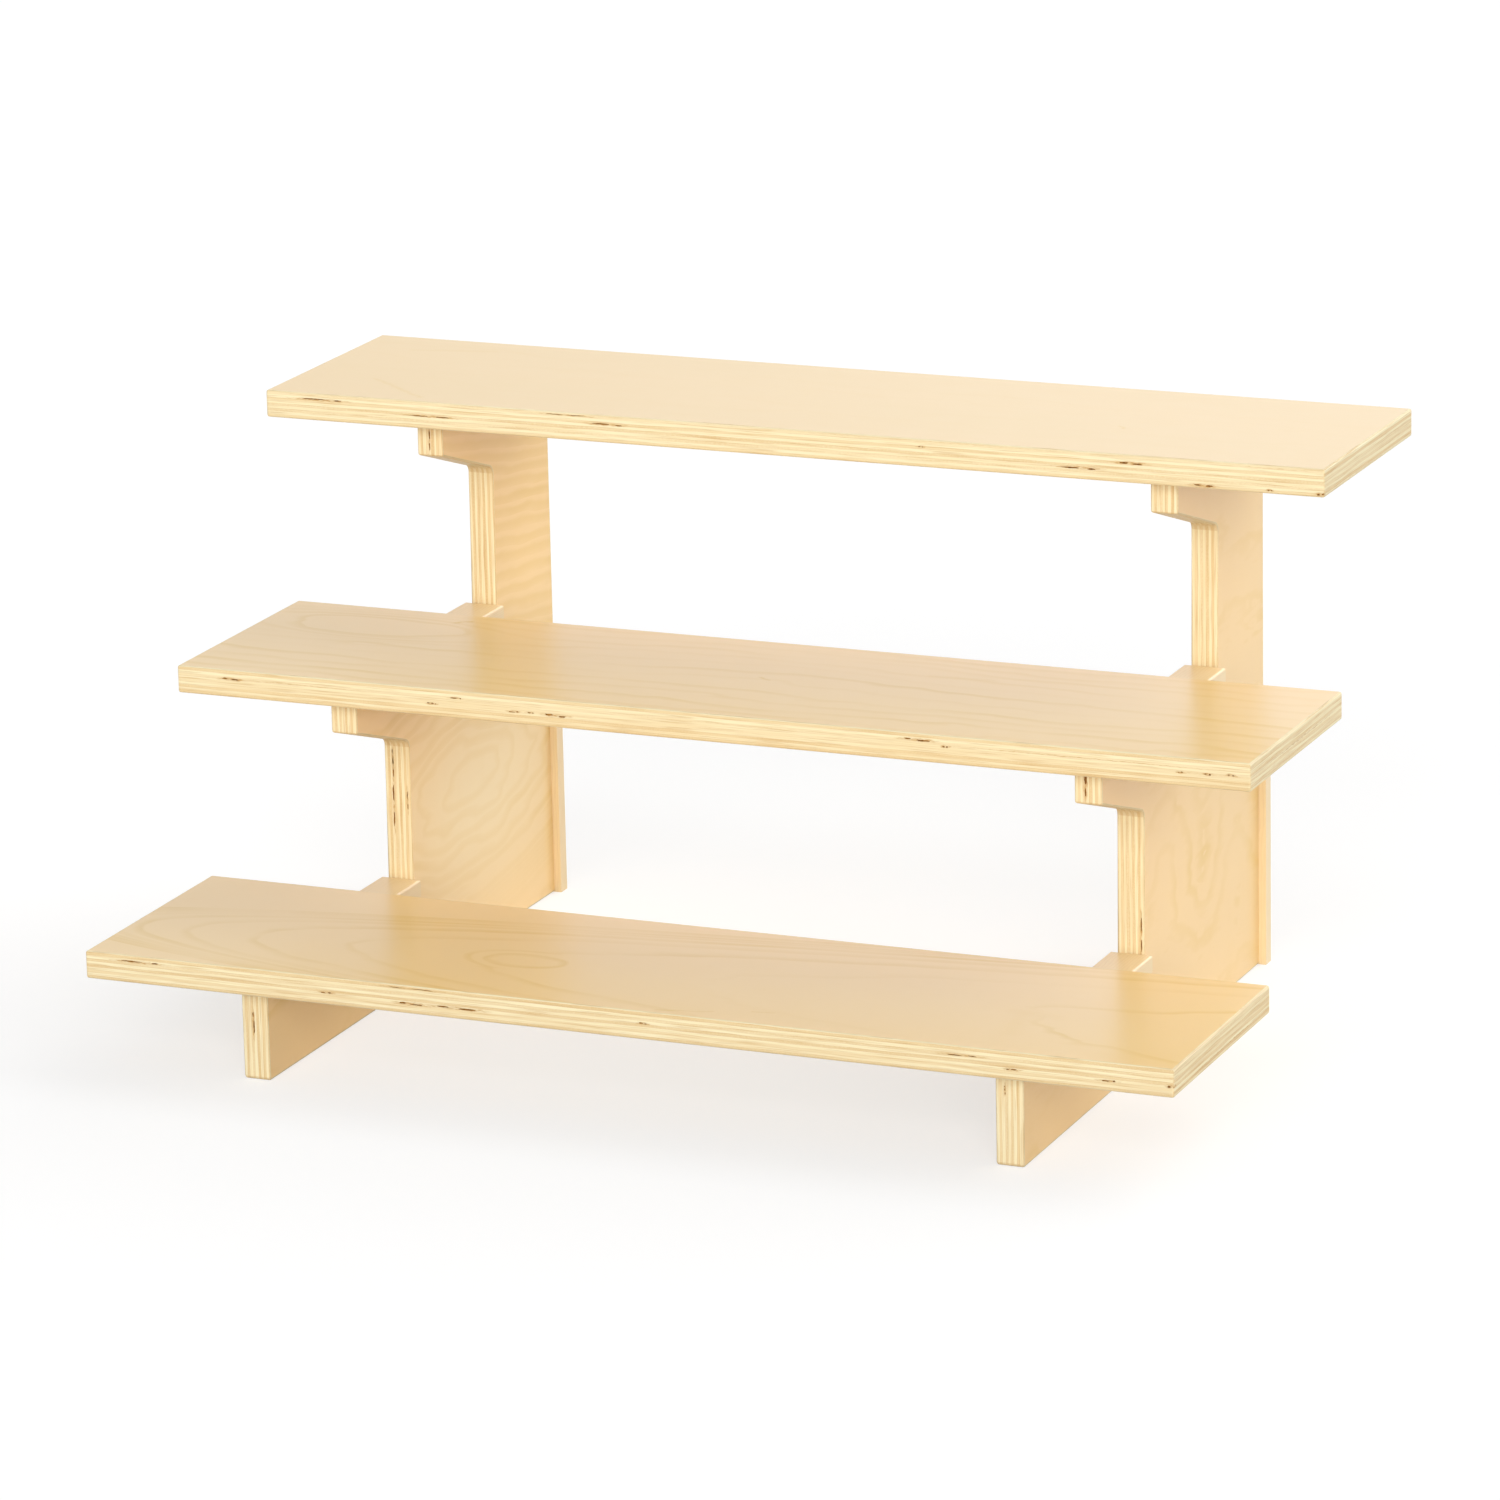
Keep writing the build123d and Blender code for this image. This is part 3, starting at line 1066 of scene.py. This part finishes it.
def solid_wood(name, origin, order, seed, looks):
    """Solid wood with its grain along the strip."""
    recipe = new_recipe(name)
    along, across, through = recipe.place(origin, order)
    out_along, _, _ = recipe.slant(order)
    bent = across + recipe.noise(along / 70, across / 40, seed) * 6
    wander = recipe.noise(along / 30, across / 9, through / 9 + seed) * 2.2
    rings = (bent * 0.42 + through * 0.75 + wander).fraction()
    line = rings.rise(0.35, 0.92) * rings.rise(1.0, 0.93)
    fibre = recipe.noise(along / 11, across / 0.5, through / 0.5 + seed, detail=3.0)
    patch = recipe.noise(along / 45, across / 16, seed + 4.0)
    end = out_along.rise(0.4, 0.8)
    shade = line * 0.24 + fibre * 0.3 + patch * 0.3 + end * 0.25
    colour = shade.blend(looks.wood, looks.dark_wood)
    roughness = looks.roughness + fibre * 0.12 + end * 0.15
    return recipe.finish(colour, roughness, relief=fibre - line * 0.4, relief_depth=0.00005)


def zinc_plate(name, looks):
    """Plated steel, a little uneven."""
    recipe = new_recipe(name)
    x, y, z = recipe.place((0, 0, 0), "XYZ")
    cloud = recipe.noise(x / 2.2, y / 2.2, z / 2.2, detail=3.0)
    scuff = recipe.noise(x / 0.35, y / 0.35, z / 0.35, detail=2.0)
    shade = cloud * 0.9 + scuff * 0.5 + 0.2
    colour = shade.blend(looks.steel, looks.dull_steel)
    roughness = looks.roughness + cloud * 0.2
    return recipe.finish(colour, roughness, relief=scuff, relief_depth=0.00003, metal=1.0)


def dress(node, finish):
    """Gives a node of the frame a new finish in place of its own."""
    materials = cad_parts[node].data.materials
    materials.clear()
    materials.append(finish)


class SHELF_OT_finish_strips(bpy.types.Operator):
    """Give the rails and cleats their solid wood"""

    bl_idname = "shelf.finish_strips"
    bl_label = "Finish strips"

    def execute(self, context):
        looks = context.scene.shelf_strip
        for number, side in enumerate(sides):
            for index, strip in enumerate(strips):
                node = f"{side}_{strip}"
                order = "ZXY" if strip == "rear_cleat" else "YXZ"
                seed = 3.0 + 7.0 * index + 31.0 * number
                dress(node, solid_wood(f"wood of {node}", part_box(node)[0], order, seed, looks))
        return {"FINISHED"}


class SHELF_OT_finish_screws(bpy.types.Operator):
    """Give the screws their zinc plate"""

    bl_idname = "shelf.finish_screws"
    bl_label = "Finish screws"

    def execute(self, context):
        finish = zinc_plate("zinc plate of screws", context.scene.shelf_screw)
        for side in sides:
            for strip in strips:
                dress(f"{side}_{strip}_screws", finish)
        return {"FINISHED"}


# Stage

# Each lamp's name, the way its light goes, the setting with its level, and its spread in degrees
lamps = (
    ("front lamp", (-0.254, 0.93, -0.27), "front_light", 50.0),
    ("back lamp", (-0.55, -0.69, -0.465), "back_light", 74.0),
    ("rear lamp", (-0.10, -0.90, -0.42), "rear_light", 60.0),
)


def add_floor(looks):
    """A white floor that keeps the shadow; where nothing shades it, it is as white as the picture."""
    deselect()
    bpy.ops.mesh.primitive_plane_add(size=looks.floor_size)
    floor = bpy.context.object
    floor.name = "floor"
    recipe = new_recipe("white floor")
    shown = looks.floor_white * looks.floor_shadow
    colour = recipe.by_ray(shown, looks.floor_white, looks.floor_bounce)
    diffuse = recipe.add("ShaderNodeBsdfDiffuse", {"Color": colour})
    lift = recipe.by_ray(1.0 - shown * looks.floor_level, 1.0 - looks.floor_white * looks.floor_level, 0.0)
    glow = recipe.add("ShaderNodeEmission", {"Strength": lift})
    both = recipe.add("ShaderNodeAddShader", {0: diffuse.outputs[0], 1: glow.outputs[0]})
    floor.data.materials.append(recipe.show(both))


def add_sky(looks):
    """Even light from all round, which gloss and the camera see as white."""
    recipe = Recipe(bpy.data.worlds.new("studio"))
    light = recipe.by_ray(1.0, 1.0, looks.ambient)
    sky = recipe.add("ShaderNodeBackground", {"Color": (1.0, 1.0, 1.0), "Strength": light})
    bpy.context.scene.world = recipe.show(sky, "ShaderNodeOutputWorld")


def add_lamp(name, towards, level, spread):
    """A broad, soft lamp far away, whose light goes one way and adds a level on a face turned to it."""
    lamp = bpy.data.lights.new(name, "SUN")
    lamp.energy = level * math.pi
    lamp.angle = math.radians(spread)
    lamp_object = bpy.data.objects.new(name, lamp)
    lamp_object.rotation_euler = Vector(towards).to_track_quat("-Z", "Y").to_euler()
    bpy.context.collection.objects.link(lamp_object)


class SHELF_OT_add_stage(bpy.types.Operator):
    """Add the floor, the light and the camera"""

    bl_idname = "shelf.add_stage"
    bl_label = "Add stage"

    def execute(self, context):
        looks = context.scene.shelf_stage
        for name, towards, setting, spread in lamps:
            add_lamp(name, towards, getattr(looks, setting), spread)
        add_floor(looks)
        add_sky(looks)
        lens = bpy.data.cameras.new("camera")
        lens.lens = looks.camera_lens
        lens.sensor_width = looks.sensor_width
        camera = bpy.data.objects.new("camera", lens)
        camera.location = looks.camera_place
        camera.rotation_euler = looks.camera_turn
        context.collection.objects.link(camera)
        context.scene.camera = camera
        context.scene.view_settings.view_transform = "Standard"
        return {"FINISHED"}


# Add-on


class SHELF_PT_panel(bpy.types.Panel):
    """The shelf's operators and settings"""

    bl_label = "Tiered display shelf"
    bl_idname = "SHELF_PT_panel"
    bl_space_type = "VIEW_3D"
    bl_region_type = "UI"
    bl_category = "Shelf"

    def draw(self, context):
        for operator in operators:
            self.layout.operator(operator.bl_idname)
        for name, group in settings.items():
            column = self.layout.column()
            column.label(text=group.__doc__)
            for field in group.__annotations__:
                column.prop(getattr(context.scene, name), field)


settings = {
    "shelf_sizes": ShelfSizes,
    "shelf_plywood": PlywoodLooks,
    "shelf_strip": StripLooks,
    "shelf_screw": ScrewLooks,
    "shelf_stage": StageLooks,
}
operators = (
    SHELF_OT_add_stage,
    SHELF_OT_add_boards,
    SHELF_OT_add_supports,
    SHELF_OT_finish_strips,
    SHELF_OT_finish_screws,
)
classes = (*settings.values(), *operators, SHELF_PT_panel)


def register():
    for one in classes:
        bpy.utils.register_class(one)
    for name, group in settings.items():
        setattr(bpy.types.Scene, name, PointerProperty(type=group))


def unregister():
    for name in settings:
        delattr(bpy.types.Scene, name)
    for one in reversed(classes):
        bpy.utils.unregister_class(one)


def main():
    register()
    bpy.ops.shelf.add_stage()
    bpy.ops.shelf.add_boards()
    bpy.ops.shelf.add_supports()
    bpy.ops.shelf.finish_strips()
    bpy.ops.shelf.finish_screws()


if __name__ == "__main__":
    main()
